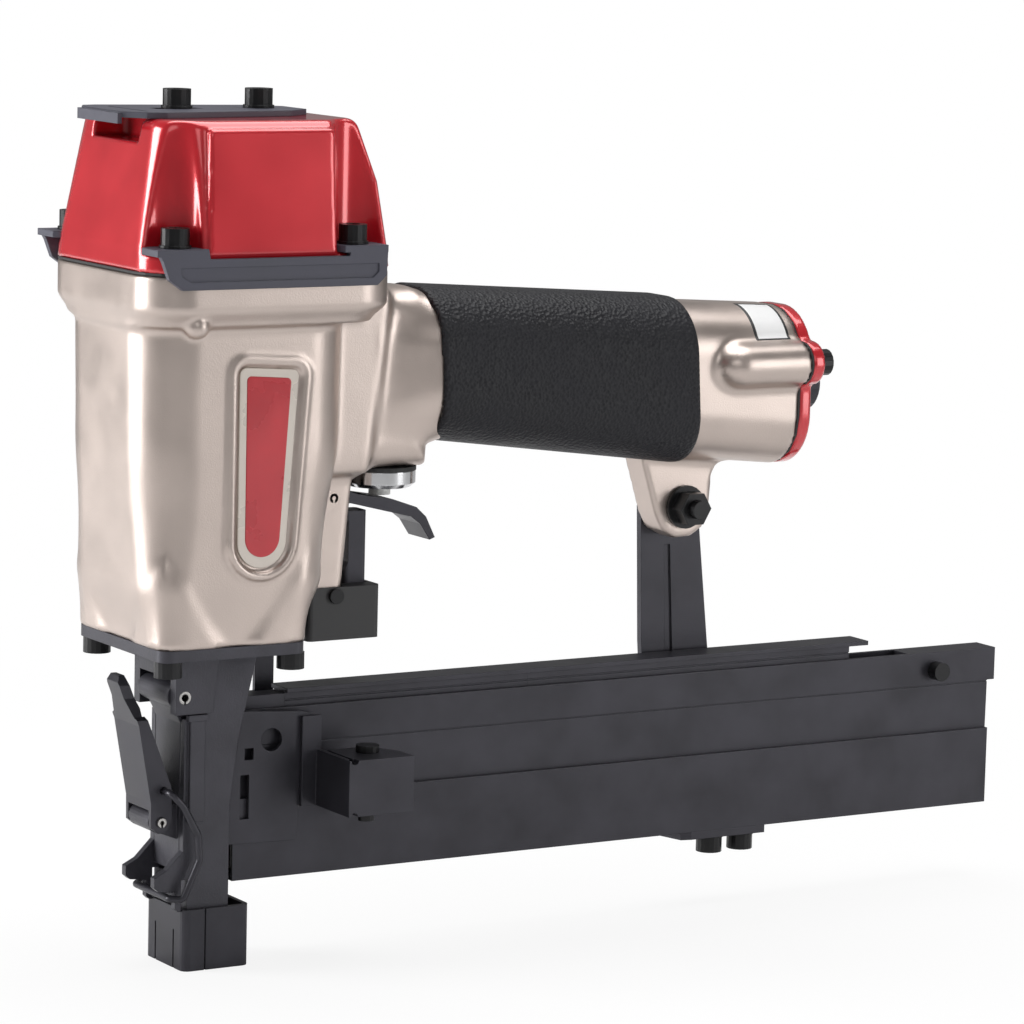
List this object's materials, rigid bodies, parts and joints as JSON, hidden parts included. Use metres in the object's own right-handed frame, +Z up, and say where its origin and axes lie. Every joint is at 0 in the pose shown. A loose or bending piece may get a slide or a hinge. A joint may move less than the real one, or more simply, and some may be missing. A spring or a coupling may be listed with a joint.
{
  "type": "pneumatic crown stapler",
  "caption": "Air-driven crown stapler with a red lacquered cap, rubber grip, latched nose door, contact safety and a long bottom-loading magazine on a strut.",
  "frame": {"origin": "the middle of the safety foot's underside, on the driver's axis, where the staple enters the work", "axes": "+Z up along the driver towards the cap, +X back along the magazine, +Y to the tool's plain side, away from the label"},
  "size_m": [0.3346, 0.081, 0.2665],
  "materials": {
    "casting": "champagne silver metallic paint, satin",
    "red_lacquer": "glossy red lacquer",
    "black_steel": "black oxide, satin",
    "black_nose": "blackened steel casting",
    "black_screw": "blackened screws",
    "guard_plastic": "dark grey moulding",
    "black_plastic": "black moulding",
    "grip_rubber": "leather-grained rubber",
    "seal_rubber": "black rubber",
    "chrome_cap": "polished",
    "white_plastic": "white",
    "bright_steel": "bright steel",
    "bare_aluminium": "turned",
    "label_pale": "pale border",
    "label_red": "bare red panel",
    "sticker_white": "blank sticker"
  },
  "bodies": {
    "tool": {"nose_casting": "black_nose", "hinge_pin": "bright_steel", "flange_screws": "black_screw", "magazine_channel": "black_steel", "core_rail": "black_steel", "top_rail_front": "black_steel", "top_rail_rear": "black_steel", "rail_tie": "black_steel", "staple_stick": "bright_steel", "side_plate_near": "black_steel", "side_plate_far": "black_steel", "box_bracket": "black_steel", "bracket_spacer": "black_steel", "bracket_screw": "black_screw", "housing": "casting", "label_plate": "label_pale", "label_panel": "label_red", "cylinder_sleeve": "bare_aluminium", "bumper": "seal_rubber", "cap_gasket": "seal_rubber", "cylinder_cap": "red_lacquer", "head_valve": "black_plastic", "cap_screws": "black_screw", "side_guard_near": "guard_plastic", "side_guard_far": "guard_plastic", "exhaust_deflector": "guard_plastic", "deflector_screws": "black_screw", "grip_sleeve": "grip_rubber", "end_seal": "seal_rubber", "end_cap": "red_lacquer", "end_screws": "black_screw", "inlet_bush": "black_steel", "support_strut": "black_steel", "pivot_bolt": "black_screw", "pivot_nut": "black_screw", "strut_screws": "black_screw", "trigger_pin": "bright_steel", "valve_cap": "chrome_cap", "valve_ring": "seal_rubber", "guide_box": "black_plastic", "guide_screw": "black_screw", "blank_sticker": "sticker_white"},
    "safety": {"safety_foot": "black_steel", "safety_arm": "black_steel", "safety_post": "black_steel"},
    "door": {"nose_door": "black_nose", "lever_pin": "bright_steel"},
    "lever": {"latch_lever": "black_steel"},
    "bail": {"wire_bail": "black_steel"},
    "driver": {"piston": "bare_aluminium", "driver_blade": "bright_steel"},
    "trigger_lever": {"trigger": "black_steel"},
    "stem": {"valve_stem": "white_plastic"},
    "cover": {"magazine_cover": "black_steel", "cover_pin": "black_screw"},
    "pusher": {"staple_pusher": "black_steel"}
  },
  "joints": [
    {"name": "safety_slide", "type": "slide", "parent": "tool", "child": "safety", "axis": [0, 0, 1], "range_m": [0, 0.0058], "stiffness_N_per_m": 2000, "springref_m": -0.005},
    {"name": "driver_slide", "type": "slide", "parent": "tool", "child": "driver", "axis": [0, 0, -1], "range_m": [0, 0.068]},
    {"name": "door_hinge", "type": "hinge", "parent": "tool", "child": "door", "pos_m": [-0.0125, 0, 0.0848], "axis": [0, 1, 0], "range_deg": [0, 60]},
    {"name": "lever_hinge", "type": "hinge", "parent": "door", "child": "lever", "pos_m": [-0.0172, 0, 0.046], "axis": [0, 1, 0], "range_deg": [-120, 0]},
    {"name": "bail_hinge", "type": "hinge", "parent": "lever", "child": "bail", "pos_m": [-0.0165, 0, 0.0557], "axis": [0, 1, 0], "range_deg": [0, 60]},
    {"name": "trigger_hinge", "type": "hinge", "parent": "tool", "child": "trigger_lever", "pos_m": [0.04, 0, 0.142], "axis": [0, -1, 0], "range_deg": [0, 6], "stiffness_Nm_per_rad": 0.001, "springref_deg": 116.88},
    {"name": "stem_slide", "type": "slide", "parent": "tool", "child": "stem", "axis": [0, 0, 1], "range_m": [0, 0.00205], "stiffness_N_per_m": 200, "springref_m": -0.005},
    {"name": "cover_slide", "type": "slide", "parent": "tool", "child": "cover", "axis": [1, 0, 0], "range_m": [0, 0.18]},
    {"name": "pusher_slide", "type": "slide", "parent": "tool", "child": "pusher", "axis": [1, 0, 0], "range_m": [0, 0.135], "stiffness_N_per_m": 30, "springref_m": -0.2}
  ],
  "couplings": [
    {"joint": "lever_hinge", "follows": "door_hinge", "ratio": -2},
    {"joint": "bail_hinge", "follows": "door_hinge", "ratio": 1},
    {"joint": "trigger_hinge", "follows": "stem_slide", "rad_per_m": 48.78}
  ]
}
